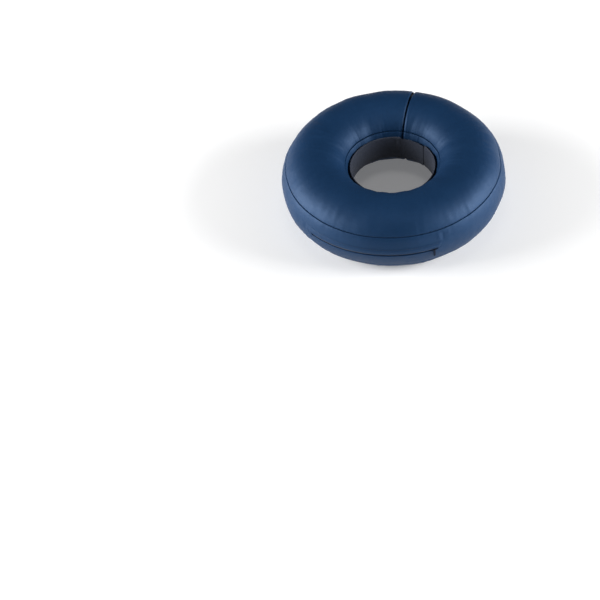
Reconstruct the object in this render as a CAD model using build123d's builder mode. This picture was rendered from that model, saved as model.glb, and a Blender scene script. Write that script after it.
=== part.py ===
from build123d import *
import os
from math import cos, radians, sin

# Inflatable ring collar for a dog or a cat, in millimetres. The ring lies flat on the floor: the floor is
# z = 0 and +Z is the ring's axis. Angles round the ring are measured from the front (-Y) towards +X. The
# ring is cut through at the back (180 degrees) and opens there. Three rigid sectors stand for the ring's
# elastic bending.

# Driving dimensions
RING_RADIUS = 185.0  # outside of the inflated ring
TUBE_WIDTH = 115.0  # the tube's section, across
TUBE_HEIGHT = 115.0  # and upright
COVER_WALL = 1.5
BLADDER_DEPTH = 4.6  # of the bladder's outside, below the cover's outside
BLADDER_WALL = 0.8
HINGE_ANGLE = 60.0  # where the arms begin, each side of the front
EDGE_GAP = 0.2  # degrees that each sector stands back from its boundary
SEAM_ANGLE = 31.5  # of both sewn seams, about the tube's centre, from the outer rim
LINING_ANGLE = 150.0  # where the neck lining begins, above and below
PANEL_GAP = 0.3  # degrees that a panel stands back from its seam, about the tube's centre
NECK_RADIUS = 67.5  # inside of the neck strap
STRAP_HEIGHT = 45.0
STRAP_WALL = 2.2

TUBE_CENTRE = RING_RADIUS - TUBE_WIDTH / 2
MIDDLE = TUBE_HEIGHT / 2
SECTORS = {
    "front": (-HINGE_ANGLE + EDGE_GAP, HINGE_ANGLE - EDGE_GAP),
    "right": (HINGE_ANGLE + EDGE_GAP, 180 - EDGE_GAP),
    "left": (180 + EDGE_GAP, 360 - HINGE_ANGLE - EDGE_GAP),
}
END_PANEL_ARC = 0.8  # degrees that an end panel takes of its arm
os.makedirs("parts", exist_ok=True)


def save(piece, name):
    """Labels a finished sub-part and writes it to its own file."""
    piece.part.label = name
    export_step(piece.part, f"parts/{name}.step")


def radial_plane(angle):
    """The upright plane through the ring's axis at an angle: local x is the radius, local y the height above
    the middle of the tube. A positive turn about the axis takes it to larger angles."""
    turn = radians(angle)
    return Plane(
        origin=(0, 0, MIDDLE),
        x_dir=(sin(turn), -cos(turn), 0),
        z_dir=(-cos(turn), -sin(turn), 0),
    )


def tube_section(depth, mode=Mode.ADD):
    """The tube's oval section, a depth inside the cover's outer surface."""
    with Locations((TUBE_CENTRE, 0)):
        Ellipse(TUBE_WIDTH / 2 - depth, TUBE_HEIGHT / 2 - depth, mode=mode)


def skin_section(depth, wall):
    """A skin of one wall thickness all round the tube."""
    tube_section(depth)
    tube_section(depth + wall, mode=Mode.SUBTRACT)


def keep_heights(low, high):
    """Cuts the sketch down to the outer part between two heights from the tube's middle."""
    with Locations((TUBE_CENTRE, low)):
        Rectangle(TUBE_WIDTH, high - low, align=(Align.MIN, Align.MIN), mode=Mode.INTERSECT)


def keep_wedge(first, last):
    """Cuts the sketch down to the part between two angles about the tube's centre."""
    reach = TUBE_WIDTH
    rim = []
    for step in range(4):
        turn = radians(first + (last - first) * step / 3)
        rim.append((TUBE_CENTRE + reach * cos(turn), reach * sin(turn)))
    with BuildLine() as wedge:
        Polyline((TUBE_CENTRE, 0), *rim, close=True)
    make_face(wedge.edges(), mode=Mode.INTERSECT)


def cloth_span(sector):
    """The angles that a sector's cover fills, clear of an arm's end panel."""
    start, end = SECTORS[sector]
    if sector == "right":
        end -= END_PANEL_ARC
    if sector == "left":
        start += END_PANEL_ARC
    return start, end


# Cover: four panels for each sector, as (name, first angle, last angle) about the tube's centre
PANELS = [
    ("outer_band", -SEAM_ANGLE, SEAM_ANGLE),
    ("cover_top", SEAM_ANGLE, LINING_ANGLE),
    ("neck_lining", LINING_ANGLE, 360 - LINING_ANGLE),
    ("cover_bottom", 360 - LINING_ANGLE, 360 - SEAM_ANGLE),
]

# Zip: it lies in the front of the outer band, from its closed end on the right to its open end on the left
ZIP_CLOSED = 35.7
ZIP_OPEN = -31.8
ZIP_HEIGHT = 2.0  # of its middle line, above the middle of the tube
SLOT_HALF = 4.5  # half the width of the slot in the cover
SLOT_PAST = 1.2  # degrees that the slot runs past the teeth
TOOTH_IN, TOOTH_OUT = 182.0, 183.5  # radii of the teeth
TOOTH_LOW, TOOTH_HIGH = 0.7, 2.5  # from the middle line to each row's two edges
TAPE_DEPTH = 2.0
TAPE_WALL = 0.6
TAPE_EDGE = 13.0  # from the middle line
STOP_ARC = 0.8
FLAP_IN, FLAP_WALL = 185.3, 1.2
FLAP_LOW, FLAP_HIGH = -1.0, 9.5  # the flap's edges from the middle line

# Valve: through the bottom panel of the right arm, near the split
VALVE_ANGLE = 150.0
VALVE_SLOPE = -46.0  # the ellipse's own parameter at the valve
EYELET_HOLE, EYELET_OUT = 7.2, 9.9
COVER_HOLE = 10.1
BLADDER_HOLE = 8.0
BASE_FLANGE, BASE_OUT, BASE_IN = 10.5, 7.4, 6.4
STEM_OUT, STEM_IN, STEM_FLANGE = 6.1, 3.6, 6.9
STEM_TOP, STEM_BOTTOM = 1.6, -12.0  # from the cover's surface
PLUG_CAP = 1.2
PLUG_DEPTH = 4.0


def valve_plane(height=0.0):
    """The plane on the cover at the valve, facing outwards, a height above the cover."""
    slope = radians(VALVE_SLOPE)
    turn = radians(VALVE_ANGLE)
    radius = TUBE_CENTRE + TUBE_WIDTH / 2 * cos(slope)
    level = MIDDLE + TUBE_HEIGHT / 2 * sin(slope)
    outward = cos(slope) / TUBE_WIDTH
    upward = sin(slope) / TUBE_HEIGHT
    across = Vector(sin(turn), -cos(turn), 0)
    normal = (across * outward + Vector(0, 0, upward)).normalized()
    tangent = Vector(cos(turn), sin(turn), 0)
    return Plane(origin=across * radius + Vector(0, 0, level), x_dir=tangent, z_dir=normal).offset(height)


def ring_strip(radius, wall, low, high, start, end):
    """A band of rectangular section round the ring's axis. Heights are from the middle of the tube."""
    with BuildSketch(radial_plane(start)) as section:
        with Locations((radius, low)):
            Rectangle(wall, high - low, align=(Align.MIN, Align.MIN))
    revolve(section.sketch, axis=Axis.Z, revolution_arc=end - start)


def make_cover():
    for sector in SECTORS:
        start, end = cloth_span(sector)
        for panel, first, last in PANELS:
            with BuildPart() as cloth:
                with BuildSketch(radial_plane(start)):
                    skin_section(0, COVER_WALL)
                    keep_wedge(first + PANEL_GAP, last - PANEL_GAP)
                revolve(axis=Axis.Z, revolution_arc=end - start)
                if (panel, sector) == ("outer_band", "front"):
                    cut_zip_slot()
                if (panel, sector) == ("cover_bottom", "right"):
                    with BuildSketch(valve_plane(COVER_WALL)):
                        Circle(COVER_HOLE)
                    extrude(amount=-4 * COVER_WALL, mode=Mode.SUBTRACT)
            save(cloth, f"{panel}_{sector}")


def cut_zip_slot():
    """The slot that the zip shows through, in the part being built."""
    start, end = ZIP_OPEN - SLOT_PAST, ZIP_CLOSED + SLOT_PAST
    with BuildSketch(radial_plane(start)) as slot:
        with Locations((RING_RADIUS, ZIP_HEIGHT)):
            Rectangle(6 * COVER_WALL, 2 * SLOT_HALF)
    revolve(slot.sketch, axis=Axis.Z, revolution_arc=end - start, mode=Mode.SUBTRACT)


# Binding tape inside each seam
BINDING_DEPTH = COVER_WALL + 0.4
BINDING_WALL = 0.6
BINDING_HALF = 3.0  # degrees about the tube's centre


def make_seam_bindings():
    for sector in SECTORS:
        start, end = cloth_span(sector)
        for name, middle in (("upper_seam_binding", SEAM_ANGLE), ("lower_seam_binding", -SEAM_ANGLE)):
            with BuildPart() as binding:
                with BuildSketch(radial_plane(start)):
                    skin_section(BINDING_DEPTH, BINDING_WALL)
                    keep_wedge(middle - BINDING_HALF, middle + BINDING_HALF)
                revolve(axis=Axis.Z, revolution_arc=end - start)
            save(binding, f"{name}_{sector}")


def make_end_panels():
    """The discs of cloth that close the cover on both sides of the split."""
    for sector, start in (("right", 180 - EDGE_GAP - END_PANEL_ARC), ("left", 180 + EDGE_GAP)):
        with BuildPart() as panel:
            with BuildSketch(radial_plane(start)):
                tube_section(0)
            revolve(axis=Axis.Z, revolution_arc=END_PANEL_ARC - PANEL_GAP / 2)
        save(panel, f"end_panel_{sector}")


# Bladder: one inflated tube, closed at both sides of the split
BLADDER_BACK = 2.0  # degrees between the bladder's closed ends and the split
BLADDER_END_ARC = 0.5


def make_bladder():
    for sector in SECTORS:
        start, end = SECTORS[sector]
        start = max(start, 180 + BLADDER_BACK) if sector == "left" else start
        end = 180 - BLADDER_BACK if sector == "right" else end
        with BuildPart() as bladder:
            with BuildSketch(radial_plane(start)):
                skin_section(BLADDER_DEPTH, BLADDER_WALL)
            revolve(axis=Axis.Z, revolution_arc=end - start)
            if sector != "front":
                with BuildSketch(radial_plane(end if sector == "right" else start - BLADDER_END_ARC)):
                    tube_section(BLADDER_DEPTH)
                revolve(axis=Axis.Z, revolution_arc=BLADDER_END_ARC)
            if sector == "right":
                with BuildSketch(valve_plane()):
                    Circle(BLADDER_HOLE)
                extrude(amount=-4 * BLADDER_DEPTH, mode=Mode.SUBTRACT)
        save(bladder, f"bladder_{sector}")


def make_zip():
    """Tapes, teeth, end stops and flap, all fixed to the front of the outer band."""
    for side, name in ((1, "upper"), (-1, "lower")):
        tape = sorted((ZIP_HEIGHT + side * TOOTH_HIGH, ZIP_HEIGHT + side * TAPE_EDGE))
        with BuildPart() as zip_tape:
            with BuildSketch(radial_plane(ZIP_OPEN - SLOT_PAST)):
                skin_section(TAPE_DEPTH, TAPE_WALL)
                keep_heights(*tape)
            revolve(axis=Axis.Z, revolution_arc=ZIP_CLOSED - ZIP_OPEN + 2 * SLOT_PAST)
        save(zip_tape, f"zip_tape_{name}")
        row = sorted((ZIP_HEIGHT + side * TOOTH_LOW, ZIP_HEIGHT + side * TOOTH_HIGH))
        with BuildPart() as zip_teeth:
            ring_strip(TOOTH_IN, TOOTH_OUT - TOOTH_IN, *row, ZIP_OPEN, ZIP_CLOSED)
        save(zip_teeth, f"zip_teeth_{name}")
    for name, start in (("zip_box_stop", ZIP_OPEN - STOP_ARC), ("zip_top_stop", ZIP_CLOSED)):
        with BuildPart() as stop:
            ring_strip(
                TOOTH_IN, TOOTH_OUT - TOOTH_IN, ZIP_HEIGHT - TOOTH_HIGH, ZIP_HEIGHT + TOOTH_HIGH,
                start, start + STOP_ARC,
            )
        save(stop, name)
    with BuildPart() as flap:
        ring_strip(
            FLAP_IN, FLAP_WALL, ZIP_HEIGHT + FLAP_LOW, ZIP_HEIGHT + FLAP_HIGH,
            ZIP_OPEN - 2 * SLOT_PAST, ZIP_CLOSED + 1.5 * SLOT_PAST,
        )
    save(flap, "zip_flap")


# Slider and pull, at the closed end
SLIDER_ANGLE = 33.9
SLIDER_ARC = 2.8
SLIDER_HALF = 3.6
PLATE = 0.8
SLIDER_INNER, SLIDER_OUTER = 180.9, 183.8  # radii of the insides of its two plates
POST_ARC = 0.8
POST_HALF = 0.45
BAIL_RADIUS = 185.6
BAIL_HEIGHT = ZIP_HEIGHT - 2.9
BAIL_ROD = 0.5
CHEEK = 0.8
PULL_HOLE = 0.55
PULL_EYE = 1.2
PULL_HALF = 1.4
PULL_LENGTH = 13.0
PULL_IN, PULL_WALL = 185.5, 1.1


def tangent_plane(angle, past):
    """The upright plane across the ring's tangent at an angle, a distance past that angle."""
    return radial_plane(angle).offset(past)


def make_zip_slider():
    start, end = SLIDER_ANGLE - SLIDER_ARC / 2, SLIDER_ANGLE + SLIDER_ARC / 2
    low, high = ZIP_HEIGHT - SLIDER_HALF, ZIP_HEIGHT + SLIDER_HALF
    with BuildPart() as slider:
        ring_strip(SLIDER_INNER, PLATE, low, high, start, end)
        ring_strip(SLIDER_OUTER, PLATE, low, high, start, end)
        ring_strip(
            SLIDER_INNER, SLIDER_OUTER + PLATE - SLIDER_INNER, ZIP_HEIGHT - POST_HALF, ZIP_HEIGHT + POST_HALF,
            SLIDER_ANGLE - POST_ARC / 2, SLIDER_ANGLE + POST_ARC / 2,
        )
        for side in (-1, 1):
            with BuildSketch(tangent_plane(SLIDER_ANGLE, side * (PULL_HALF + CHEEK) - CHEEK / 2)):
                with Locations((SLIDER_OUTER + PLATE / 2, BAIL_HEIGHT)):
                    Rectangle(
                        BAIL_RADIUS + 2 * BAIL_ROD - SLIDER_OUTER - PLATE / 2, 3 * BAIL_ROD,
                        align=(Align.MIN, Align.CENTER),
                    )
            extrude(amount=CHEEK)
        with BuildSketch(tangent_plane(SLIDER_ANGLE, -PULL_HALF - CHEEK)):
            with Locations((BAIL_RADIUS, BAIL_HEIGHT)):
                Circle(BAIL_ROD)
        extrude(amount=2 * (PULL_HALF + CHEEK))
    save(slider, "zip_slider")


def make_zip_pull():
    with BuildPart() as pull:
        with BuildSketch(tangent_plane(SLIDER_ANGLE, -PULL_HALF)):
            with Locations((BAIL_RADIUS, BAIL_HEIGHT)):
                Circle(PULL_EYE)
            with Locations((PULL_IN, BAIL_HEIGHT)):
                Rectangle(PULL_WALL, PULL_LENGTH, align=(Align.MIN, Align.MAX))
            with Locations((BAIL_RADIUS, BAIL_HEIGHT)):
                Circle(PULL_HOLE, mode=Mode.SUBTRACT)
        extrude(amount=2 * PULL_HALF)
    save(pull, "zip_pull")


# Neck strap: it lines the middle of the inner wall, and its tail crosses the split from left to right
TAIL_START, TAIL_END = 144.5, 181.4
TAIL_WALL = 0.8
PATCH_WALL = 0.6
HOOK_IN = 68.4
LOOP_IN = 69.3
PATCH_HALF = 20.0
BAND_SPANS = {
    "front": SECTORS["front"],
    "right": (SECTORS["right"][0], 144.0),
    "left": (182.0, SECTORS["left"][1]),
}


def make_neck_strap():
    half = STRAP_HEIGHT / 2
    for sector, (start, end) in BAND_SPANS.items():
        with BuildPart() as band:
            ring_strip(NECK_RADIUS, STRAP_WALL, -half, half, start, end)
        save(band, f"neck_band_{sector}")
    with BuildPart() as tail:
        ring_strip(NECK_RADIUS, TAIL_WALL, -half, half, TAIL_START, TAIL_END)
    save(tail, "strap_tail")
    with BuildPart() as hook:
        ring_strip(HOOK_IN, PATCH_WALL, -PATCH_HALF, PATCH_HALF, TAIL_START + 1, 178.0)
    save(hook, "hook_patch")
    with BuildPart() as loop:
        ring_strip(LOOP_IN, PATCH_WALL, -PATCH_HALF, PATCH_HALF, TAIL_START + 1, 178.0)
    save(loop, "loop_patch")


# Loops for the pet's own collar, on the lower inner wall
LOOP_FIRST, LOOP_LAST = 209.0, 235.0  # the ellipse's own parameter at the loop's two feet
LOOP_STAND = 8.0  # clear height under the loop
LOOP_WALL = 1.2
LOOP_FOOT = 3.0
LOOP_ARC = 18.0  # degrees round the ring, about 26 mm
LOOP_ANGLES = {"front": 0.0, "right": 90.0, "left": 270.0}
LOOP_CLEAR = 0.2  # between the loop's feet and the cover


def wall_point(slope, height):
    """A point at a height above the tube's surface, at one value of the ellipse's own parameter."""
    turn = radians(slope)
    normal = Vector(cos(turn) / TUBE_WIDTH, sin(turn) / TUBE_HEIGHT).normalized()
    surface = Vector(TUBE_CENTRE + TUBE_WIDTH / 2 * cos(turn), TUBE_HEIGHT / 2 * sin(turn))
    return surface + normal * height


def loop_outline(first, last, low, high):
    """A closed strip above the tube's surface, between two values of the ellipse's own parameter."""
    middle = (first + last) / 2
    with BuildLine() as strip:
        ThreePointArc(wall_point(first, low), wall_point(middle, low), wall_point(last, low))
        Line(wall_point(last, low), wall_point(last, high))
        ThreePointArc(wall_point(last, high), wall_point(middle, high), wall_point(first, high))
        Line(wall_point(first, high), wall_point(first, low))
    make_face(strip.edges())


def make_collar_loops():
    top = LOOP_STAND + LOOP_WALL
    leg = 1.4
    for sector, angle in LOOP_ANGLES.items():
        with BuildPart() as loop:
            with BuildSketch(radial_plane(angle - LOOP_ARC / 2)):
                loop_outline(LOOP_FIRST, LOOP_LAST, LOOP_STAND, top)
                loop_outline(LOOP_FIRST, LOOP_FIRST + leg, LOOP_CLEAR, top)
                loop_outline(LOOP_LAST - leg, LOOP_LAST, LOOP_CLEAR, top)
                loop_outline(LOOP_FIRST - LOOP_FOOT, LOOP_FIRST + leg, LOOP_CLEAR, LOOP_CLEAR + LOOP_WALL)
                loop_outline(LOOP_LAST - leg, LOOP_LAST + LOOP_FOOT, LOOP_CLEAR, LOOP_CLEAR + LOOP_WALL)
            revolve(axis=Axis.Z, revolution_arc=LOOP_ARC)
        save(loop, f"collar_loop_{sector}")


def disc(height, outer, thickness, inner=0.0):
    """A flat ring round the valve's axis, from a height above the cover inwards."""
    with BuildSketch(valve_plane(height)) as section:
        Circle(outer)
        if inner:
            Circle(inner, mode=Mode.SUBTRACT)
    extrude(section.sketch, amount=-thickness)


TETHER_REACH = 8.4  # from the valve's axis to the plug's hinge
TETHER_WIDTH = 4.0
TETHER_WALL = 0.9
CAP_BOTTOM = 2.4


def make_valve():
    with BuildPart() as eyelet:
        disc(0.4, EYELET_OUT, 2.6, EYELET_HOLE)
    save(eyelet, "valve_eyelet")
    with BuildPart() as base:
        disc(-3.6, BASE_FLANGE, 0.7, BASE_IN)
        disc(-3.6, BASE_OUT, 10.0, BASE_IN)
    save(base, "valve_base")
    with BuildPart() as stem:
        disc(STEM_TOP, STEM_OUT, STEM_TOP - STEM_BOTTOM, STEM_IN)
        disc(STEM_TOP + 0.4, STEM_FLANGE, 1.2, STEM_IN)
    save(stem, "valve_stem")
    with BuildPart() as flap:
        disc(STEM_BOTTOM, STEM_OUT - 0.4, 0.5)
    save(flap, "valve_check_flap")
    with BuildPart() as plug:
        disc(CAP_BOTTOM + PLUG_CAP, STEM_FLANGE, PLUG_CAP)
        with BuildSketch(valve_plane(CAP_BOTTOM)):
            Circle(STEM_IN - 0.3)
        extrude(amount=-PLUG_DEPTH, taper=18)
        with BuildSketch(valve_plane(CAP_BOTTOM + PLUG_CAP)):
            with Locations((0, STEM_FLANGE)):
                Rectangle(TETHER_WIDTH, TETHER_REACH - STEM_FLANGE + 1.6)
        extrude(amount=-TETHER_WALL)
    save(plug, "valve_plug")


make_cover()
make_seam_bindings()
make_end_panels()
make_bladder()
make_zip()
make_zip_slider()
make_zip_pull()
make_neck_strap()
make_collar_loops()
make_valve()
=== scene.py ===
"""Looks of an inflatable ring collar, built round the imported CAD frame, in metres and degrees.

A place on the ring is given by its angle round the ring's upright axis, 0 at -Y and growing towards +X,
and by its slope round the tube's middle line, 0 outwards, 90 upwards, 180 towards the neck.
"""

import math

import bmesh
import bpy
import numpy as np
from mathutils import Matrix, Vector


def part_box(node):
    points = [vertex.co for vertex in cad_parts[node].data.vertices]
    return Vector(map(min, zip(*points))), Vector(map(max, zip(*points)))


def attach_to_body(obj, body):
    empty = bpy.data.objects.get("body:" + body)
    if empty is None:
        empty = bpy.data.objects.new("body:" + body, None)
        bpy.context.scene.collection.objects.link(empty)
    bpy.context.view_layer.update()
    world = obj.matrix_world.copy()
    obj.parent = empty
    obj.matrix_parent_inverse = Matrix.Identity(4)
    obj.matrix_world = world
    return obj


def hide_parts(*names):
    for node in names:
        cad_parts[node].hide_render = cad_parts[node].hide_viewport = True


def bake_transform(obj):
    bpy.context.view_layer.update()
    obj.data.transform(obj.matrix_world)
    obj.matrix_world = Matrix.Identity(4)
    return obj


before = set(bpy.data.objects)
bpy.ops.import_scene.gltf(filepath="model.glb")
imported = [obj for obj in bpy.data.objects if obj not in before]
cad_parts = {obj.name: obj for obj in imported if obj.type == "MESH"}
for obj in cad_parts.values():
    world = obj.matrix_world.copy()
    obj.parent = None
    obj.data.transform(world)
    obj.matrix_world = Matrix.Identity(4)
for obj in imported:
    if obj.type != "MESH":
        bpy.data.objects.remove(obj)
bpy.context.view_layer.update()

MM = 0.001

# The ring, as the frame has it
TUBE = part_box("cover_top_front")[1].z / 2  # radius of the tube
MID = TUBE  # height of its middle line above the floor
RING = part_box("outer_band_right")[1].x
CENTRE = RING - TUBE
NECK = 67.5 * MM

# The cover's cloth
CLOTH = 1.2 * MM
FLOOR_GAP = 0.2 * MM
SQUARE = 0.012  # how far the section is fuller than a circle at its corners, as a share of TUBE
SWELL, RIPPLE = 0.4 * MM, 0.07 * MM  # depths of the slow and of the quick unevenness
FINE_STEP, COARSE_STEP = 0.7 * MM, 2.6 * MM  # mesh spacing across a panel, at its edges and in its middle

# Where the panels meet
SEAMS = {"upper": 31.5, "inner_upper": 150, "inner_lower": 210, "lower": 328.5}
SEAM_GAP = 0.28 * MM  # from the seam's middle to each panel's fold
SEAM_RADIUS = 1.3 * MM  # of the fold
ALLOWANCE = 4.0 * MM  # cloth turned in
SEAM_DIP, DIP_REACH = 0.9 * MM, 9 * MM  # how deep a seam pulls the cloth in, and how far off that is felt
PUCKER, PUCKER_REACH = 0.12 * MM, 8 * MM

# The split at the back
END_RADIUS = 5 * MM  # rounding of the tube's rim
END_CLOTH = 179.2  # where the panels stop
END_FACE = 179.8  # where the end panels stand
END_BULGE = 0.36 * MM
END_SPAN, END_STEPS = 5.4, 28  # the stretch before the split that has a finer mesh

# Where the sectors meet
JOIN = 45  # where the front's pieces meet an arm's

# The zip
ZIP = MID + 2 * MM  # height of its middle line
ZIP_OPEN, ZIP_CLOSED = -31.8, 35.7
SLOT_START, SLOT_END = ZIP_OPEN - 1.2, ZIP_CLOSED + 1.2
SLOT_TOP = ZIP + 4.5 * MM  # the band's upper edge, behind the flap
FLAP_TOP = ZIP + 9.5 * MM
LIP = ZIP - 1 * MM  # the flap's lower edge
GAP_MM, GAP_MORE_MM = 3.9, 1.4  # how far the band's lower edge hangs below the lip, and more at the open end
GAP_FROM, GAP_OVER = -16, 18  # where the gap begins to narrow, and over how many degrees

# The valve
VALVE_ANGLE, VALVE_SLOPE = 150, -46
VALVE_HOLE = 8.7 * MM  # radius
VALVE_REACH = 8 * MM  # the hole is cut this far either way along its axis

# The cloth lies smoother beside the zip and the valve
ZIP_CALM = 0.25  # share of the unevenness that is left beside the zip
ZIP_CALM_HEIGHT, ZIP_FADE_HEIGHT = 14 * MM, 12 * MM
ZIP_CALM_ANGLE, ZIP_FADE_ANGLE = 40, 6
VALVE_CALM, VALVE_FADE = 11 * MM, 14 * MM


def smooth(x):
    x = np.clip(x, 0, 1)
    return x * x * (3 - 2 * x)


def waves(seed, count, round_from, round_to, slopes, fall):
    """Seeded sines that close round the ring: turns round the ring, turns round the tube, phase, share."""
    draw = np.random.default_rng(seed)
    rows = [
        (
            draw.integers(round_from, round_to + 1),
            draw.integers(-slopes, slopes + 1),
            draw.uniform(0, 2 * math.pi),
        )
        for _ in range(count)
    ]
    shares = np.array([(1 + row[0]) ** -fall for row in rows])
    shares /= math.sqrt((shares ** 2).sum() / 2)
    return [(*row, share) for row, share in zip(rows, shares)]


def summed(rows, angle, slope):
    return sum(share * np.sin(n * angle + k * slope + phase) for n, k, phase, share in rows)


SWELLS = waves(3, 26, 2, 22, 3, 0.6)
RIPPLES = waves(8, 30, 25, 80, 9, 0.3)
PUCKERS = {name: waves(20 + i, 14, 75, 135, 0, 0.0) for i, name in enumerate(SEAMS)}
PATCHES = {name: waves(40 + i, 6, 3, 11, 0, 0.0) for i, name in enumerate(SEAMS)}


def near_valve(angle, slope):
    """1 at the valve, falling to 0 some 25 mm from it."""
    across = (angle - math.radians(VALVE_ANGLE)) * (CENTRE + TUBE * math.cos(math.radians(VALVE_SLOPE)))
    turned = (slope - math.radians(VALVE_SLOPE) + math.pi) % (2 * math.pi) - math.pi
    return 1 - smooth((np.hypot(across, turned * TUBE) - VALVE_CALM) / VALVE_FADE)


# Creases across the band beside the zip's ends: angle, first slope, last slope, half width, depth
CREASE_FADE = 6
CREASES = (
    (ZIP_OPEN - 4.6, -3, 15, 2.4 * MM, 0.8 * MM),
    (ZIP_CLOSED + 1.2, 12, 29, 2.6 * MM, -0.7 * MM),
    (ZIP_CLOSED + 3.4, 9, 28, 2.2 * MM, 0.6 * MM),
    (ZIP_CLOSED + 6.8, 15, 30, 2.4 * MM, -0.35 * MM),
)


def creased(angle, slope):
    level = np.degrees((slope + math.pi) % (2 * math.pi) - math.pi)
    total = 0
    for middle, first, last, half, depth in CREASES:
        away = (angle - math.radians(middle)) * RING / half
        fade = smooth((level - first) / CREASE_FADE), smooth((last - level) / CREASE_FADE)
        total = total + depth * np.exp(-away ** 2) * fade[0] * fade[1]
    return total


def fullness(angle, slope):
    """The tube's radius at an angle and a slope, both in radians."""
    full = TUBE * SQUARE * (1 - np.cos(4 * slope))
    full = full + SWELL * summed(SWELLS, angle, slope) + RIPPLE * summed(RIPPLES, angle, slope)
    zip_side = smooth((np.abs(np.sin(slope / 2)) * 2 * TUBE - ZIP_CALM_HEIGHT) / ZIP_FADE_HEIGHT)
    zip_end = smooth((np.abs(np.degrees(angle)) - ZIP_CALM_ANGLE) / ZIP_FADE_ANGLE)
    calm = np.maximum(zip_side, zip_end) * (1 - near_valve(angle, slope))
    full = full * (ZIP_CALM + (1 - ZIP_CALM) * calm) * (1 - near_valve(angle, slope))
    return TUBE + full - creased(angle, slope)


def pucker(name, angle):
    """How far the cloth pulls in at a seam, along it."""
    patch = 0.6 + 0.4 * summed(PATCHES[name], angle, 0)
    return PUCKER * patch * summed(PUCKERS[name], angle, 0)


def end_drop(angle, radius):
    """How far the cloth rounds in near the split."""
    short = np.clip(END_RADIUS - (math.radians(END_FACE) - np.abs(angle)) * radius, 0, END_RADIUS)
    return END_RADIUS - np.sqrt(END_RADIUS ** 2 - short ** 2)


def edge(gap, radius, depth, wall, steps=5):
    """One folded edge of a cloth panel, outside and inside: how far in from the seam, and how deep, from the
    allowance's end up to the face."""
    turn = np.radians(np.linspace(0, 90, steps))[None, :]
    tight = np.maximum(radius - wall, 0)
    step_in = np.minimum(wall, radius)
    outside = (
        np.hstack((gap, gap + radius * (1 - np.cos(turn)))),
        np.hstack((depth, radius * (1 - np.sin(turn)))),
    )
    inside = (
        np.hstack((gap + step_in, gap + step_in + tight * (1 - np.cos(turn)))),
        np.hstack((depth, wall + tight * (1 - np.sin(turn)))),
    )
    return outside, inside


def graded(length, fine, coarse, growth=0.22):
    """Shares of a length, closer together at both ends."""
    places = [0.0]
    while places[-1] < length / 2:
        places.append(places[-1] + min(coarse, fine + growth * places[-1]))
    half = np.array(places[:-1]) / length
    return np.concatenate((half[1:], [0.5], 1 - half[:0:-1]))


def seam_edge(angle):
    column = np.ones_like(angle)
    return SEAM_GAP * column, SEAM_RADIUS * column, ALLOWANCE * column


def panel_section(first, last, first_edge, last_edge, seams):
    """A cloth panel's closed section, along its outside and back along its inside. first and last give its
    edges' slopes in degrees at each angle, and seams names the seam at each edge, or None."""

    def section(angle):
        first_slope, last_slope = np.radians(first(angle)), np.radians(last(angle))
        length = (last_slope - first_slope) * TUBE
        shares = graded(float(length.max()), FINE_STEP, COARSE_STEP)[None, :]
        first_faces, last_faces = edge(*first_edge(angle), CLOTH), edge(*last_edge(angle), CLOTH)
        radii, heights = [], []
        for (first_in, first_deep), (last_in, last_deep), below in zip(first_faces, last_faces, (0, CLOTH)):
            start, stop = first_in[:, -1:], length - last_in[:, -1:]
            middle = start + shares * (stop - start)
            along = np.hstack((first_in, middle, length - last_in[:, ::-1]))
            deep = np.hstack((first_deep, np.full_like(middle, below), last_deep[:, ::-1]))
            slope = first_slope + along / TUBE
            rho = fullness(angle, slope) - deep
            for name, gone in ((seams[0], along), (seams[1], length - along)):
                if name:
                    rho = rho - SEAM_DIP * np.exp(-gone / DIP_REACH)
                    rho = rho - pucker(name, angle) * np.exp(-gone / PUCKER_REACH)
            rho = rho - end_drop(angle, CENTRE + rho * np.cos(slope))
            radii.append(CENTRE + rho * np.cos(slope))
            heights.append(np.maximum(MID + rho * np.sin(slope), FLOOR_GAP + below))
        return looped(*radii), looped(*heights)

    return section


def looped(there, back):
    """Two rows of values as one closed row, out along the first and back along the second."""
    return np.hstack((there, back[:, ::-1]))


def layered(there, back, slope):
    """A closed section between two faces, each given by its distance from the tube's middle line."""
    radii = looped(CENTRE + there * np.cos(slope), CENTRE + back * np.cos(slope))
    return radii, looped(MID + there * np.sin(slope), MID + back * np.sin(slope))


def rounded_off(share, least):
    """A quarter circle's rise, from the root of least where share is 0 to 1 where share is 1."""
    return np.sqrt(np.clip(1 - (1 - np.clip(share, 0, 1)) ** 2, least, 1))


def shown(name, vertices, faces, normals=None, uvs=None):
    """A new mesh object, with the place of each vertex at rest kept for its material."""
    mesh = bpy.data.meshes.new(name)
    mesh.from_pydata(vertices.tolist(), [], faces)
    mesh.polygons.foreach_set("use_smooth", np.ones(len(mesh.polygons), bool))
    kept = mesh.attributes.new("rest", "FLOAT_VECTOR", "POINT")
    kept.data.foreach_set("vector", vertices.astype(np.float32).ravel())
    if uvs is not None:
        corners = np.zeros(len(mesh.loops), np.int32)
        mesh.loops.foreach_get("vertex_index", corners)
        layer = mesh.uv_layers.new(name="metres")
        layer.data.foreach_set("uv", uvs[corners].astype(np.float32).ravel())
    if normals is not None:
        mesh.normals_split_custom_set_from_vertices(normals.tolist())
    mesh.update()
    piece = bpy.data.objects.new(name, mesh)
    bpy.context.scene.collection.objects.link(piece)
    return piece


NO_LENGTH = 1e-14


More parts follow.
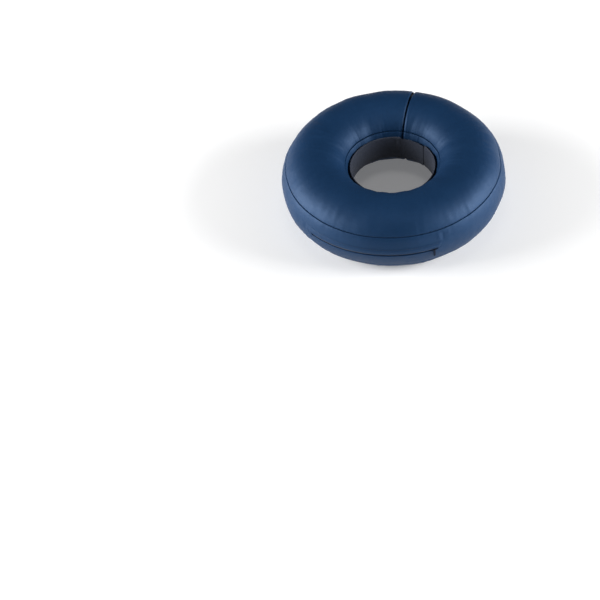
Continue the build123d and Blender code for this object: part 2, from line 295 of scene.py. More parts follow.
def swept(angles, section):
    """A closed skin as vertices, faces, normals and UVs: section gives radius and height round a loop at each
    angle."""
    grown = np.concatenate(([2 * angles[0] - angles[1]], angles, [2 * angles[-1] - angles[-2]]))
    turn = np.radians(grown)[:, None]
    r, z = section(turn)
    r, z = np.broadcast_arrays(r + 0 * turn, z + 0 * turn)
    points = np.stack((r * np.sin(turn), -r * np.cos(turn), z), axis=-1)
    along = points[2:] - points[:-2]
    over = (np.roll(points, -1, axis=1) - np.roll(points, 1, axis=1))[1:-1]
    normals = np.cross(along, over)
    size = np.linalg.norm(normals, axis=-1, keepdims=True)
    turn, flat = turn[1:-1], 0 * z[1:-1]
    outward = np.stack((np.sin(turn) + flat, -np.cos(turn) + flat, flat), axis=-1)
    normals = np.where(size > NO_LENGTH, normals / np.maximum(size, NO_LENGTH), outward)
    points = points[1:-1]
    rows, columns = points.shape[:2]
    index = np.arange(rows * columns).reshape(rows, columns)
    after = np.roll(index, -1, axis=1)
    faces = np.stack((index[:-1], index[1:], after[1:], after[:-1]), axis=-1).reshape(-1, 4).tolist()
    for i in range(columns // 2 - 1):
        near = (i, i + 1, columns - 2 - i, columns - 1 - i)
        faces.append([int(index[0, j]) for j in near])
        faces.append([int(index[-1, j]) for j in reversed(near)])
    middle = points[rows // 2]
    steps = np.linalg.norm(np.diff(middle, axis=0), axis=1)
    across = np.concatenate(([0], np.cumsum(steps)))
    u = np.radians(angles)[:, None] * CENTRE + 0 * across[None, :]
    v = across[None, :] + 0 * u
    return points.reshape(-1, 3), faces, normals.reshape(-1, 3), np.stack((u, v), axis=-1).reshape(-1, 2)


def joined(parts):
    """Several skins as one."""
    count, vertices, faces, normals, uvs = 0, [], [], [], []
    for points, sides, facing, places in parts:
        vertices.append(points)
        faces += [[i + count for i in side] for side in sides]
        normals.append(facing)
        uvs.append(places)
        count += len(points)
    return np.vstack(vertices), faces, np.vstack(normals), np.vstack(uvs)


def attach(piece, sector):
    """The piece rides on the front, or has its placing baked into its mesh."""
    if sector == "front":
        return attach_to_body(piece, "front")
    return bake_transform(piece)


def sector_angles(sector, end=END_CLOTH, step=0.6):
    if sector == "front":
        return np.linspace(-JOIN, JOIN, int(2 * JOIN / step) + 1)
    close = end - END_SPAN
    coarse = np.linspace(JOIN, close, int((close - JOIN) / step) + 1)
    fine = np.linspace(close, end, END_STEPS)[1:]
    angles = np.concatenate((coarse, fine))
    return angles if sector == "right" else -angles[::-1]


SECTORS = ("front", "right", "left")


# Materials


class Finish:
    """A node material, with short calls for the nodes it is made of."""

    def __init__(self, name, colour, roughness, **sockets):
        self.material = bpy.data.materials.new(name)
        self.material.use_nodes = True
        self.tree = self.material.node_tree
        self.shader = self.tree.nodes["Principled BSDF"]
        self.shader.inputs["Base Color"].default_value = (*colour, 1)
        self.shader.inputs["Roughness"].default_value = roughness
        for socket, value in sockets.items():
            self.shader.inputs[socket.replace("_", " ")].default_value = value

    def node(self, kind, inputs=None, **settings):
        made = self.tree.nodes.new(kind)
        for key, value in settings.items():
            setattr(made, key, value)
        for key, value in (inputs or {}).items():
            if isinstance(value, bpy.types.NodeSocket):
                self.tree.links.new(value, made.inputs[key])
            else:
                made.inputs[key].default_value = value
        return made

    def rest(self):
        return self.node("ShaderNodeAttribute", attribute_name="rest").outputs["Vector"]

    def local(self):
        return self.node("ShaderNodeTexCoord").outputs["Object"]

    def uv(self):
        return self.node("ShaderNodeTexCoord").outputs["UV"]

    def noise(self, vector, scale, detail=2.0, roughness=0.5):
        inputs = {"Vector": vector, "Scale": scale, "Detail": detail, "Roughness": roughness}
        return self.node("ShaderNodeTexNoise", inputs).outputs["Fac"]

    def bands(self, vector, pitch, direction):
        """Bands a pitch apart: a wave texture at scale 1 repeats every pi / 10."""
        inputs = {"Vector": vector, "Scale": math.pi / 10 / pitch}
        return self.node("ShaderNodeTexWave", inputs, bands_direction=direction).outputs["Fac"]

    def maths(self, operation, a, b):
        return self.node("ShaderNodeMath", {0: a, 1: b}, operation=operation).outputs[0]

    def spread(self, value, low, high):
        inputs = {"Value": value, "To Min": low, "To Max": high}
        return self.node("ShaderNodeMapRange", inputs).outputs["Result"]

    def mixed(self, factor, a, b):
        made = self.node("ShaderNodeMix", data_type="RGBA")
        sockets = {s.identifier: s for s in made.inputs}
        self.tree.links.new(factor, sockets["Factor_Float"])
        for key, value in (("A_Color", a), ("B_Color", b)):
            if isinstance(value, bpy.types.NodeSocket):
                self.tree.links.new(value, sockets[key])
            else:
                sockets[key].default_value = (*value, 1)
        return next(s for s in made.outputs if s.identifier == "Result_Color")

    def colour(self, socket):
        self.tree.links.new(socket, self.shader.inputs["Base Color"])

    def rough(self, socket):
        self.tree.links.new(socket, self.shader.inputs["Roughness"])

    def bump(self, height, distance, strength=1.0, under=None):
        inputs = {"Height": height, "Distance": distance, "Strength": strength}
        if under is not None:
            inputs["Normal"] = under
        made = self.node("ShaderNodeBump", inputs)
        self.tree.links.new(made.outputs["Normal"], self.shader.inputs["Normal"])
        return made.outputs["Normal"]


COVER_BLUE = (0.0037, 0.0225, 0.065)


def shade(colour, share):
    return tuple(share * value for value in colour)


def cover_cloth():
    """Coated navy cloth: a soft bluish shine, faint blotches and crumples, and a fine weave."""
    shine = {"Specular_IOR_Level": 0.44, "Specular_Tint": (0.38, 0.6, 1.0, 1)}
    finish = Finish("cover_cloth", COVER_BLUE, 0.4, **shine)
    rest, uv = finish.rest(), finish.uv()
    broad = finish.noise(rest, 22, 3)
    fine = finish.noise(rest, 160, 3, 0.6)
    tone = finish.mixed(finish.spread(broad, 0, 1), shade(COVER_BLUE, 0.86), shade(COVER_BLUE, 1.14))
    finish.colour(finish.mixed(finish.spread(fine, 0, 0.35), tone, shade(COVER_BLUE, 1.5)))
    handled = finish.maths("ADD", broad, finish.maths("MULTIPLY", fine, 0.5))
    finish.rough(finish.spread(handled, 0.45, 0.58))
    weave = finish.maths("ADD", finish.bands(uv, 0.5 * MM, "X"), finish.bands(uv, 0.5 * MM, "Y"))
    crumple = finish.bump(finish.noise(rest, 130, 4, 0.6), 0.6 * MM, 0.5)
    finish.bump(weave, 0.03 * MM, 0.5, crumple)
    return finish.material


def webbing(name, dark, light, pitch=1.3 * MM):
    """Woven strap: ribs along it, picks across it."""
    finish = Finish(name, dark, 0.62, Sheen_Weight=0.15)
    rest, uv = finish.rest(), finish.uv()
    ribs = finish.bands(uv, pitch, "Y")
    picks = finish.bands(uv, pitch * 0.8, "X")
    weave = finish.maths("MULTIPLY", ribs, picks)
    worn = finish.maths("MULTIPLY", weave, finish.spread(finish.noise(rest, 60, 2), 0.4, 1.1))
    finish.colour(finish.mixed(worn, dark, light))
    finish.rough(finish.spread(finish.noise(rest, 240, 2), 0.5, 0.75))
    finish.bump(weave, 0.25 * MM, 0.8)
    return finish.material


def fastener(name, dark, light, scale):
    """Hook or loop tape: a felted face."""
    finish = Finish(name, dark, 0.85, Sheen_Weight=0.3)
    rest = finish.rest()
    nap = finish.noise(rest, scale, 4, 0.7)
    finish.colour(finish.mixed(finish.spread(nap, 0, 1), dark, light))
    finish.bump(nap, 0.6 * MM, 0.9)
    return finish.material


def moulded(name, low, high, roughness, **sockets):
    """Moulded or plated small parts, with a fine grain and handled shine."""
    finish = Finish(name, low, roughness, **sockets)
    place = finish.local()
    soft = finish.noise(place, 260, 2)
    finish.colour(finish.mixed(finish.spread(soft, 0, 1), low, high))
    finish.rough(finish.spread(finish.noise(place, 420, 3), roughness - 0.07, roughness + 0.1))
    finish.bump(finish.noise(place, 2600, 2), 0.04 * MM, 0.4)
    return finish.material


def bladder_film():
    """Clear film, clouded and faintly uneven."""
    finish = Finish("bladder_film", (0.55, 0.6, 0.62), 0.25, Specular_IOR_Level=0.6)
    rest = finish.rest()
    cloudy = finish.noise(rest, 35, 3)
    finish.colour(finish.mixed(finish.spread(cloudy, 0, 1), (0.42, 0.47, 0.5), (0.62, 0.66, 0.68)))
    finish.rough(finish.spread(cloudy, 0.18, 0.34))
    finish.bump(finish.noise(rest, 120, 3), 0.3 * MM, 0.5)
    return finish.material


DULL = {"Specular_IOR_Level": 0.1}
MATERIALS = {
    "cover_cloth": cover_cloth(),
    "binding_tape": webbing("binding_tape", (0.006, 0.016, 0.042), (0.02, 0.04, 0.09), 0.6 * MM),
    "strap_webbing": webbing("strap_webbing", (0.006, 0.012, 0.03), (0.022, 0.035, 0.07)),
    "zip_tape": webbing("zip_tape", (0.007, 0.016, 0.04), (0.022, 0.04, 0.085), 0.7 * MM),
    "fastener_tape": fastener("fastener_tape", (0.006, 0.008, 0.014), (0.03, 0.035, 0.05), 900),
    "zip_teeth": moulded("zip_teeth", (0.006, 0.009, 0.016), (0.013, 0.018, 0.03), 0.5, **DULL),
    "zip_metal": moulded("zip_metal", (0.001, 0.004, 0.012), (0.003, 0.008, 0.02), 0.45, **DULL),
    "valve_plastic": moulded("valve_plastic", (0.42, 0.46, 0.50), (0.50, 0.54, 0.57), 0.32),
    "bladder_film": bladder_film(),
}


def dressed(piece, slot_name, *nodes):
    """The piece takes the slot's material and stands for these CAD nodes."""
    piece.data.materials.clear()
    piece.data.materials.append(MATERIALS[slot_name])
    if nodes:
        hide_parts(*nodes)
    return piece


# Cover


def fixed(value):
    return lambda angle: value * np.ones_like(angle)


def in_slot(angle, ramp=(2.4, 1.6)):
    """0 outside the zip's slot, 1 well inside it, with a ramp of some degrees at each end."""
    turn = np.degrees(angle)
    return smooth((turn - SLOT_START) / ramp[0]) * smooth((SLOT_END - turn) / ramp[1])


def slot_gap(angle):
    """How far the band's lower edge hangs below the flap's lip."""
    turn = np.degrees(angle)
    wide = GAP_MM + GAP_MORE_MM * (1 - smooth((turn - GAP_FROM) / GAP_OVER))
    return wide * MM * in_slot(angle)


def slope_at(height):
    return np.degrees(np.arcsin((height - MID) / TUBE))


def slot_low(angle):
    return slope_at(LIP - slot_gap(angle))


def slot_high(angle):
    """The upper edge opens over a shorter stretch, so that the slider clears it."""
    return slope_at(LIP + (SLOT_TOP - LIP) * in_slot(angle, (0.9, 0.9)))


def slot_edge(radius):
    """A folded edge at the slot, which flattens out past its ends."""

    def at(angle):
        share = in_slot(angle)
        return 0 * share, radius * share, (CLOTH + radius * 0.9 * share)

    return at


BAND = (-SEAMS["upper"], SEAMS["upper"])
PANELS = {
    "cover_top": ("upper", "inner_upper"),
    "neck_lining": ("inner_upper", "inner_lower"),
    "cover_bottom": ("inner_lower", "lower"),
}


def open_valve_hole(piece):
    """Cuts the valve's hole through both faces of the cloth and joins them round it."""
    turn, slope = math.radians(VALVE_ANGLE), math.radians(VALVE_SLOPE)
    radius = CENTRE + TUBE * math.cos(slope)
    middle = Vector((radius * math.sin(turn), -radius * math.cos(turn), MID + TUBE * math.sin(slope)))
    axis = Vector((math.cos(slope) * math.sin(turn), -math.cos(slope) * math.cos(turn), math.sin(slope)))
    work = bmesh.new()
    work.from_mesh(piece.data)

    def aside(point):
        reach = point - middle
        return reach - axis * reach.dot(axis), reach.dot(axis)

    inside = [
        v for v in work.verts
        if aside(v.co)[0].length < VALVE_HOLE and abs(aside(v.co)[1]) < VALVE_REACH
    ]
    bmesh.ops.delete(work, geom=inside, context="VERTS")
    rim = [e for e in work.edges if e.is_boundary]
    for vertex in {v for e in rim for v in e.verts}:
        away, deep = aside(vertex.co)
        vertex.co = middle + axis * deep + away.normalized() * VALVE_HOLE
    made = bmesh.ops.bridge_loops(work, edges=rim)
    for face in made["faces"]:
        face.smooth = True
    work.normal_update()
    work.to_mesh(piece.data)
    work.free()


for sector in SECTORS:
    angles = sector_angles(sector)
    for panel, seams in PANELS.items():
        name = f"{panel}_{sector}"
        first, last = (SEAMS[seam] for seam in seams)
        section = panel_section(fixed(first), fixed(last), seam_edge, seam_edge, seams)
        piece = shown(f"{name}_cloth", *swept(angles, section))
        if name == "cover_bottom_right":
            open_valve_hole(piece)
        dressed(piece, "cover_cloth", name)
        attach(piece, sector)
    if sector == "front":
        low = panel_section(fixed(BAND[0]), slot_low, seam_edge, slot_edge(1.0 * MM), ("lower", None))
        high = panel_section(slot_high, fixed(BAND[1]), slot_edge(0.8 * MM), seam_edge, (None, "upper"))
        skin = joined([swept(angles, low), swept(angles, high)])
    else:
        whole = panel_section(fixed(BAND[0]), fixed(BAND[1]), seam_edge, seam_edge, ("lower", "upper"))
        skin = swept(angles, whole)
    piece = shown(f"outer_band_{sector}_cloth", *skin)
    dressed(piece, "cover_cloth", f"outer_band_{sector}")
    attach(piece, sector)


BINDING_HALF, BINDING_TOP, BINDING_BELOW = 2.6 * MM, 4.1 * MM, 4.5 * MM
BINDING_CURL = 0.5 * MM
BINDING_END = 178.9


def binding_section(slope):
    """A tape under a seam, curling down at its sides."""

    def section(angle):
        places = np.linspace(-BINDING_HALF, BINDING_HALF, 7)[None, :]
        turned = math.radians(slope) + places / TUBE
        curl = BINDING_CURL * (places / BINDING_HALF) ** 2
        outer = TUBE - BINDING_TOP - curl + 0 * angle
        inner = TUBE - BINDING_BELOW - curl * 0.6 + 0 * angle
        return layered(outer, inner, turned)

    return section


for sector in SECTORS:
    angles = sector_angles(sector, BINDING_END, 1.0)
    for level, slope in (("upper", SEAMS["upper"]), ("lower", -SEAMS["upper"])):
        name = f"{level}_seam_binding_{sector}"
        piece = shown(f"{name}_tape", *swept(angles, binding_section(slope)))
        dressed(piece, "binding_tape", name)
        attach(piece, sector)

# Bladder: a sealed tube under the cover


BLADDER_END = 178.6
BLADDER_ROUND = 6 * MM  # of its ends
BLADDER_DEPTH = 5.4 * MM  # of its film under the cover's face
BLADDER_SWELL = 0.25 * MM


def bladder_section(angle):
    turned = np.radians(np.linspace(-180, 180, 73)[:-1])[None, :]
    short = BLADDER_ROUND - (math.radians(BLADDER_END) - np.abs(angle)) * CENTRE
    short = np.clip(short, 0, BLADDER_ROUND * 0.98)
    drop = BLADDER_ROUND - np.sqrt(BLADDER_ROUND ** 2 - short ** 2)
    rho = TUBE - BLADDER_DEPTH + BLADDER_SWELL * summed(SWELLS, angle, turned) - drop
    return CENTRE + rho * np.cos(turned), MID + rho * np.sin(turned)


for sector in SECTORS:
    angles = sector_angles(sector, BLADDER_END, 1.2)
    piece = shown(f"bladder_{sector}_tube", *swept(angles, bladder_section))
    dressed(piece, "bladder_film", f"bladder_{sector}")
    attach(piece, sector)

# End panels at the split


RIM_TURN, RIM_DEPTH = 1.6 * MM, 4 * MM  # radius of the rim's turn, and how far the rim stands in
RIM_GAP = 0.5 * MM
DOME_SHARES = np.array([0.12, 0.25, 0.4, 0.55, 0.7, 0.82, 0.9, 0.95])


def end_panel(side):
    """The round cloth that closes an arm's end: slightly domed, with its rim turned in."""
    slopes = np.radians(np.linspace(0, 360, 121)[:-1])
    level = np.ones_like(slopes)
    rim = fullness(math.radians(END_FACE) * side * level, slopes) - END_RADIUS - RIM_GAP
    curl = np.radians(np.linspace(0, 90, 5))[1:]
    rows = [(share * (rim - RIM_TURN), -END_BULGE * (1 - share ** 2) * level) for share in DOME_SHARES]
    rows += [(rim - RIM_TURN + RIM_TURN * np.sin(c), RIM_TURN * (1 - np.cos(c)) * level) for c in curl]
    rows += [(rim, RIM_DEPTH * level), (rim - CLOTH, RIM_DEPTH * level)]
    rows += [(rim - CLOTH, (RIM_TURN + 0.4 * MM) * level)]
    rows += [
        (share * (rim - CLOTH), (CLOTH - END_BULGE * (1 - share ** 2)) * level)
        for share in DOME_SHARES[::-1]
    ]
    points = []
    for rho, back in rows:
        r = CENTRE + rho * np.cos(slopes)
        angle = math.radians(END_FACE) - back / r
        height = np.maximum(MID + rho * np.sin(slopes), 0)
        points.append(np.stack((side * r * np.sin(angle), -r * np.cos(angle), height), axis=-1))
    for back in (-END_BULGE, CLOTH - END_BULGE):
        angle = math.radians(END_FACE) - back / CENTRE
        points.append(np.array([[side * CENTRE * math.sin(angle), -CENTRE * math.cos(angle), MID]]))
    count, around = len(rows), len(slopes)
    vertices = np.vstack(points)
    faces = []
    for i in range(count - 1):
        for j in range(around):
            k = (j + 1) % around
            faces.append([i * around + j, (i + 1) * around + j, (i + 1) * around + k, i * around + k])
    for j in range(around):
        k = (j + 1) % around
        faces.append([count * around, j, k])
        faces.append([count * around + 1, (count - 1) * around + k, (count - 1) * around + j])
    if side < 0:
        faces = [face[::-1] for face in faces]
    return vertices, faces, None, vertices[:, [0, 2]]


for side, arm in ((1, "right"), (-1, "left")):
    piece = shown(f"end_panel_{arm}_cloth", *end_panel(side))
    dressed(piece, "cover_cloth", f"end_panel_{arm}")
    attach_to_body(piece, f"{arm}_arm")

# Straps, patches and loops


EDGE_SHARES = np.concatenate(([0, 0.004, 0.012], np.linspace(0.03, 0.97, 26), [0.988, 0.996, 1]))
OPEN_END = 1e3


def strap_section(middle, wall, low, high, ends, bow=0.0):
    """A strap standing on its edge round the neck, with soft edges and ends. middle gives its radius at each
    angle."""

    def section(angle):
        heights = low + (high - low) * EDGE_SHARES
        heights = heights[None, :]
        half = wall / 2
        soft = rounded_off(np.minimum(heights - low, high - heights) / half, 0.02)
        turn = np.degrees(angle)
        near = np.radians(np.minimum(turn - ends[0], ends[1] - turn)) * NECK
        tapered = rounded_off(near / half, 0.02)
        centre = middle(angle) + bow * ((heights - (low + high) / 2) / ((high - low) / 2)) ** 2
        thick = half * soft * tapered
        r = looped(centre + thick, centre - thick)
        return r, looped(heights, heights) + 0 * r

    return section


def strap(name, slot_name, node, middle, wall, half_height, start, end, bow=0.0, cut=(True, True)):
    """A length of strap; cut says which of its ends are true ends, and not joins to the next length."""
    tight = math.degrees(wall / 4 / NECK)
    inner = np.linspace(start + 2 * tight, end - 2 * tight, int(end - start) + 1)
    angles = np.concatenate((
        [start, start + tight / 2, start + tight], inner, [end - tight, end - tight / 2, end],
    ))
    ends = (start if cut[0] else -OPEN_END, end if cut[1] else OPEN_END)
    section = strap_section(middle, wall, MID - half_height, MID + half_height, ends, bow)
    piece = shown(name, *swept(angles, section))
    dressed(piece, slot_name, node)
    return piece


STRAP_HALF, STRAP_WALL = 22.5 * MM, 2.2 * MM
BAND_BOW = 1.6 * MM  # how far the band's edges lean back with the tube
BAND_RIGHT, BAND_LEFT = 144, -178  # where the band stops
for sector, start, end, cut in (
    ("front", -JOIN, JOIN, (False, False)),
    ("right", JOIN, BAND_RIGHT, (False, True)),
    ("left", BAND_LEFT, -JOIN, (True, False)),
):
    piece = strap(
        f"neck_band_{sector}_webbing", "strap_webbing", f"neck_band_{sector}",
        fixed(NECK + STRAP_WALL / 2), STRAP_WALL, STRAP_HALF, start, end, bow=BAND_BOW, cut=cut,
    )
    attach(piece, sector)

TAIL_WALL = 0.8 * MM
TAIL_START, TAIL_END = 144.5, 188
TAIL_LEAVES, TAIL_RISE = 181, 3  # where the tail leaves the band, and over how many degrees it steps off
TAIL_STEP = 0.85 * MM


def tail_middle(angle):
    """The tail lies on the band behind the split and runs level past it."""
    on_band = smooth((np.degrees(angle) - TAIL_LEAVES) / TAIL_RISE)
    return NECK + TAIL_WALL / 2 - TAIL_STEP * on_band


piece = strap(
    "strap_tail_webbing", "strap_webbing", "strap_tail",
    tail_middle, TAIL_WALL, STRAP_HALF - 1 * MM, TAIL_START, TAIL_END,
)
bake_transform(piece)

PATCH_WALL, PATCH_HALF, PATCH_END = 0.6 * MM, 20 * MM, 178
for name, radius, body, start in (
    ("hook_patch", 68.7 * MM, "strap_tail", 145.5), ("loop_patch", 69.6 * MM, "right_arm", 143.2),
):
    piece = strap(
        f"{name}_tape", "fastener_tape", name, fixed(radius), PATCH_WALL, PATCH_HALF, start, PATCH_END,
    )
    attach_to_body(piece, body)

LOOP_ARC = 18  # degrees of the ring that a carrying loop takes
LOOP_RADIUS = CENTRE - TUBE * 0.8
LOOP_WALL = 1.2 * MM
LOOP_SLOPE, LOOP_SPAN = 206, 32  # where it is sewn down first, and the slopes it passes over
LOOP_SEWN, LOOP_STAND = 0.5 * MM, 6.2 * MM  # how far it stands off the cover at its ends, and more in between


def loop_section(middle_angle):
    """A carrying loop: webbing that stands off the lower inner wall and is sewn down at both ends."""

    def section(angle):
        path = np.linspace(0, 1, 41)[None, :]
        rise = smooth(np.minimum(path, 1 - path) / 0.30) ** 0.8
        near = (np.radians(LOOP_ARC / 2) - np.abs(angle - math.radians(middle_angle))) * LOOP_RADIUS
        soft = rounded_off(near / (LOOP_WALL / 2), 0.03)
        base = TUBE + LOOP_SEWN + LOOP_STAND * rise
        outer, inner = base + LOOP_WALL / 2 * soft, base - LOOP_WALL / 2 * soft
        return layered(outer, inner, np.radians(LOOP_SLOPE + LOOP_SPAN * path))

    return section


for sector, middle in (("front", 0), ("right", 90), ("left", -90)):
    half = LOOP_ARC / 2
    angles = middle + np.concatenate((
        [-half, -half + 0.15, -half + 0.35], np.linspace(-half + 0.7, half - 0.7, 21),
        [half - 0.35, half - 0.15, half],
    ))
    piece = shown(f"collar_loop_{sector}_webbing", *swept(angles, loop_section(middle)))
    dressed(piece, "strap_webbing", f"collar_loop_{sector}")
    attach(piece, sector)

# Zip


FLAP_LEAD = 1.4
FLAP_START, FLAP_END = SLOT_START - FLAP_LEAD, SLOT_END + 1.0
FLAP_FADES = 2.4, 1.6  # degrees over which it narrows, at its start and at its end
FLAP_SEWN, FLAP_STAND = 0.25 * MM, 0.9 * MM  # how far it stands off at its top, and more at the lip
FLAP_NARROW = 0.55  # share of its width lost at its ends
LIP_FROM, LIP_DROP = 0.93, 0.55 * MM  # where across it the lip begins to round off, and by how much


def flap_section(angle):
    """The flap over the zip: sewn down along its top, with a rounded lip that stands off the teeth. At both
    ends it narrows and lies against the cover."""
    turn = np.degrees(angle)
    ends = smooth((turn - SLOT_START + FLAP_LEAD) / FLAP_FADES[0]) * smooth((FLAP_END - turn) / FLAP_FADES[1])
    across = np.linspace(0, 1, 15)[None, :]
    top, lip = FLAP_TOP + 0 * angle, LIP + (FLAP_TOP - LIP) * FLAP_NARROW * (1 - ends)
    heights = top + (lip - top) * across
    slope = np.arcsin((heights - MID) / TUBE)
    stand = FLAP_SEWN + FLAP_STAND * smooth(across / 0.5) * ends
    rounded = np.sqrt(np.clip(1 - np.clip((across - LIP_FROM) / 0.07, 0, 1) ** 2, 0.05, 1))
    raised = rounded_off(across / 0.08, 0.05)
    body = fullness(angle, slope)
    outer = body + stand * raised - LIP_DROP * (1 - rounded) * ends
    inner = body + FLAP_SEWN * ends - 0.5 * MM * (1 - ends) - 0.15 * MM + 0 * across
    return layered(inner, outer, slope)


angles = np.linspace(FLAP_START, FLAP_END, 160)
piece = shown("zip_flap_cloth", *swept(angles, flap_section))
dressed(piece, "cover_cloth", "zip_flap")
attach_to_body(piece, "front")

TAPE_DEPTH, TAPE_WALL = 2.0 * MM, 0.6 * MM
TAPE_NEAR, TAPE_FAR = 1.9 * MM, 13 * MM  # a tape's edges, above or below the zip's middle line


def tape_section(near, far):
    """A zip tape, following the cover under its face, from the teeth outwards."""

    def section(angle):
        heights = np.linspace(*sorted((near, far)), 9)[None, :]
        slope = np.arcsin((heights - MID) / TUBE)
        outer = TUBE - TAPE_DEPTH + 0 * angle
        return layered(outer, outer - TAPE_WALL, slope)

    return section


for side, level in ((1, "upper"), (-1, "lower")):
    section = tape_section(ZIP + side * TAPE_NEAR, ZIP + side * TAPE_FAR)
    piece = shown(f"zip_tape_{level}_weave", *swept(np.linspace(SLOT_START, SLOT_END, 120), section))
    dressed(piece, "zip_tape", f"zip_tape_{level}")
    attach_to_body(piece, "front")

TOOTH_PITCH = 2.0 * MM
TOOTH_IN, TOOTH_OUT = 182.0 * MM, 183.5 * MM
# Half of a tooth's outline in mm, from its root on the tape to its head: along the zip, from the middle line
TOOTH_HALF = [(-0.55, 2.5), (-0.55, 1.6), (-0.3, 1.3), (-0.5, 0.9), (-0.38, 0.5)]
TOOTH_WAIST = 1.1  # mm from the middle line, the height about which the outer face shrinks


def teeth(side):
    """A row of zip teeth: waisted blocks, half a pitch along from those of the other row."""
    pitch = math.degrees(TOOTH_PITCH / TOOTH_OUT)
    offset = 0 if side > 0 else pitch / 2
    outline = TOOTH_HALF + [(-x, y) for x, y in reversed(TOOTH_HALF)]
    parts, faces = [], []
    rings = len(outline)
    for i in range(int((ZIP_CLOSED - ZIP_OPEN) / pitch)):
        middle = ZIP_OPEN + offset + pitch * (i + 0.3)
        base = len(parts)
        for radius, shrink in ((TOOTH_IN, 1), (TOOTH_OUT - 0.25 * MM, 1), (TOOTH_OUT, 0.72)):
            low = 0.9 if shrink < 1 else 1
            for x, y in outline:
                turn = math.radians(middle) + x * shrink * MM / TOOTH_OUT
                height = ZIP + side * (TOOTH_WAIST + (y - TOOTH_WAIST) * low) * MM
                parts.append((radius * math.sin(turn), -radius * math.cos(turn), height))
        for level in range(2):
            for j in range(rings):
                k = (j + 1) % rings
                a, b = base + level * rings, base + (level + 1) * rings
                faces.append([a + j, a + k, b + k, b + j])
        faces.append([base + j for j in reversed(range(rings))])
        faces.append([base + 2 * rings + j for j in range(rings)])
    if side < 0:
        faces = [face[::-1] for face in faces]
    return np.array(parts), faces


for side, level in ((1, "upper"), (-1, "lower")):
    piece = shown(f"zip_teeth_{level}_row", *teeth(side))
    piece.data.polygons.foreach_set("use_smooth", np.zeros(len(piece.data.polygons), bool))
    dressed(piece, "zip_teeth", f"zip_teeth_{level}")
    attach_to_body(piece, "front")

# Stitches


THREAD_LIFT, THREAD_DIVE = 0.16 * MM, 0.5 * MM  # a stitch stands off the cloth and dives in at its ends
THREAD_SIDES = 6


def stitched(rows, pitch=3.2 * MM, length=2.3 * MM, thread=0.27 * MM):
    """Rows of thread, each as its first angle, last angle and line, which gives radius, height and facing."""
    vertices, faces = [], []
    places = np.linspace(-1, 1, 5)
    for first, last, line in rows:
        radius = float(line(np.radians(np.array([first])))[0][0])
        count = int(math.radians(last - first) * radius / pitch)
        for middle in np.radians(first + (np.arange(count) + 0.5) * (last - first) / count):
            turn = middle + places * length / 2 / radius
            r, z, facing = line(turn)
            lift = THREAD_LIFT - THREAD_DIVE * places ** 4
            thick = thread * np.sqrt(1.05 - places ** 2)
            base = len(vertices)
            for i, angle in enumerate(turn):
                for j in range(THREAD_SIDES):
                    spoke = 2 * math.pi * j / THREAD_SIDES
                    out = r[i] + facing * (lift[i] + thick[i] * math.cos(spoke))
                    height = z[i] + thick[i] * math.sin(spoke)
                    vertices.append((out * math.sin(angle), -out * math.cos(angle), height))
            made = []
            for i in range(len(places) - 1):
                for j in range(THREAD_SIDES):
                    k = (j + 1) % THREAD_SIDES
                    a, b = base + i * THREAD_SIDES, base + (i + 1) * THREAD_SIDES
                    made.append([a + j, b + j, b + k, a + k])
            end = base + (len(places) - 1) * THREAD_SIDES
            made.append([base + j for j in range(THREAD_SIDES)])
            made.append([end + j for j in reversed(range(THREAD_SIDES))])
            faces += made if facing > 0 else [face[::-1] for face in made]
    return np.array(vertices), faces


FLAP_LINE_IN, FLAP_LINE_OUT = 1.6 * MM, 0.44 * MM  # the flap's stitches, below its top and off the cover


def flap_line(angle):
    height = FLAP_TOP - FLAP_LINE_IN
    slope = math.asin((height - MID) / TUBE)
    radius = CENTRE + (fullness(angle, slope * np.ones_like(angle)) + FLAP_LINE_OUT) * math.cos(slope)
    return radius, height * np.ones_like(angle), 1


piece = shown("zip_flap_stitches", *stitched([(SLOT_START + 0.4, SLOT_END - 0.6, flap_line)]))
dressed(piece, "binding_tape")
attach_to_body(piece, "front")


def band_line(share):
    """A line of stitches along the band, at a share of its half height from its middle."""

    def line(angle):
        lean = BAND_BOW * share ** 2
        return (NECK + lean) * np.ones_like(angle), (MID + share * STRAP_HALF) * np.ones_like(angle), -1

    return line


for sector, start, end in (
    ("front", -JOIN, JOIN), ("right", JOIN, BAND_RIGHT - 1), ("left", BAND_LEFT + 1, -JOIN),
):
    rows = [(start, end, band_line(share)) for share in (-0.86, 0.86)]
    piece = shown(f"neck_band_{sector}_stitches", *stitched(rows))
    dressed(piece, "binding_tape")
    attach(piece, sector)


def tail_line(share):
    def line(angle):
        inner = tail_middle(angle) - TAIL_WALL / 2
        return inner, (MID + share * STRAP_HALF) * np.ones_like(angle), -1

    return line


rows = [(184.3, 187.2, tail_line(share)) for share in (-0.84, -0.42, 0, 0.42, 0.84)]
piece = shown("strap_tail_stitches", *stitched(rows, 2.2 * MM, 1.7 * MM, 0.24 * MM))
dressed(piece, "binding_tape")
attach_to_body(piece, "left_arm")

# CAD nodes that stay take the finished materials

KEPT = {
    "zip_box_stop": "zip_metal", "zip_top_stop": "zip_metal",
    "zip_slider": "zip_metal", "zip_pull": "zip_metal",
    "valve_base": "valve_plastic", "valve_eyelet": "valve_plastic", "valve_stem": "valve_plastic",
    "valve_check_flap": "valve_plastic", "valve_plug": "valve_plastic",
}
for node, slot_name in KEPT.items():
    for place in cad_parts[node].material_slots:
        place.material = MATERIALS[slot_name]

# Floor, lights and camera


def lit(name, grey, roughness, strength):
    """A pale finish that gives off a little light of its own."""
    finish = Finish(name, (grey, grey, grey), roughness)
    finish.shader.inputs["Emission Color"].default_value = (1, 1, 1, 1)
    finish.shader.inputs["Emission Strength"].default_value = strength
    return finish


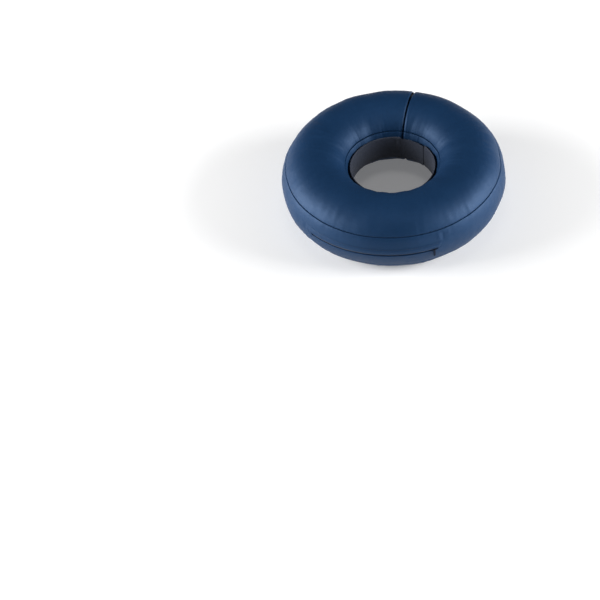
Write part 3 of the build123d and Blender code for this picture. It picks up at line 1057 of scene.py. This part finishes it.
bpy.ops.mesh.primitive_plane_add(size=14, location=(0, 0, 0))
floor = bpy.context.object
floor.name = "floor"
pale = lit("floor_pale", 0.88, 0.8, 0.15)
grain = pale.noise(pale.local(), 3, 2)
pale.colour(pale.mixed(grain, (0.87, 0.87, 0.87), (0.89, 0.89, 0.89)))
floor.data.materials.append(pale.material)

bpy.ops.mesh.primitive_cylinder_add(
    vertices=96, radius=6.8, depth=8, end_fill_type="NOTHING", location=(0, 0, 3.99)
)
backdrop = bpy.context.object
backdrop.name = "backdrop"
backdrop.data.materials.append(lit("backdrop_pale", 0.6, 0.9, 0.4).material)
backdrop.visible_diffuse = backdrop.visible_glossy = backdrop.visible_shadow = False

HEART = Vector((0, 0, MID))


def towards(azimuth, elevation):
    a, e = math.radians(azimuth), math.radians(elevation)
    return Vector((math.sin(a) * math.cos(e), -math.cos(a) * math.cos(e), math.sin(e)))


def softbox(name, azimuth, elevation, distance, size, power):
    light = bpy.data.lights.new(name, "AREA")
    light.shape = "RECTANGLE"
    light.size, light.size_y = size
    light.energy = power
    lamp = bpy.data.objects.new(name, light)
    bpy.context.scene.collection.objects.link(lamp)
    lamp.location = HEART + towards(azimuth, elevation) * distance
    lamp.rotation_mode = "QUATERNION"
    lamp.rotation_quaternion = (HEART - lamp.location).to_track_quat("-Z", "Y")


softbox("softbox_left", -72, 18, 2.5, (1.7, 1.3), 116)
softbox("softbox_right", 97, 18, 2.5, (1.5, 1.3), 112)
softbox("softbox_above", 15, 86, 3.0, (1.0, 1.0), 5)

world = bpy.context.scene.world or bpy.data.worlds.new("world")
bpy.context.scene.world = world
world.use_nodes = True
sky = world.node_tree.nodes["Background"]
sky.inputs["Color"].default_value = (0.9, 0.92, 0.95, 1)
sky.inputs["Strength"].default_value = 0.06
bpy.context.scene.view_settings.view_transform = "Standard"

VIEW_AZIMUTH, VIEW_ELEVATION = 15, 42.6
VIEW_DISTANCE = 12 * RING
VIEW_LENS = 79.5
VIEW_ROLL, VIEW_YAW, VIEW_PITCH = 2.44, 4.01, 5.37  # the ring stands off the middle of the picture
camera_data = bpy.data.cameras.new("camera")
camera_data.lens = VIEW_LENS
camera_data.sensor_width = 36
camera = bpy.data.objects.new("camera", camera_data)
bpy.context.scene.collection.objects.link(camera)
bpy.context.scene.camera = camera
back = towards(VIEW_AZIMUTH, VIEW_ELEVATION)
right = Vector((math.cos(math.radians(VIEW_AZIMUTH)), math.sin(math.radians(VIEW_AZIMUTH)), 0))
straight = Matrix((right, back.cross(right), back)).transposed()
aim = straight @ Matrix.Rotation(math.radians(-VIEW_ROLL), 3, "Z")
aim = aim @ Matrix.Rotation(math.radians(-VIEW_PITCH), 3, "X")
aim = aim @ Matrix.Rotation(math.radians(VIEW_YAW), 3, "Y")
camera.matrix_world = Matrix.Translation(HEART + back * VIEW_DISTANCE) @ aim.to_4x4()
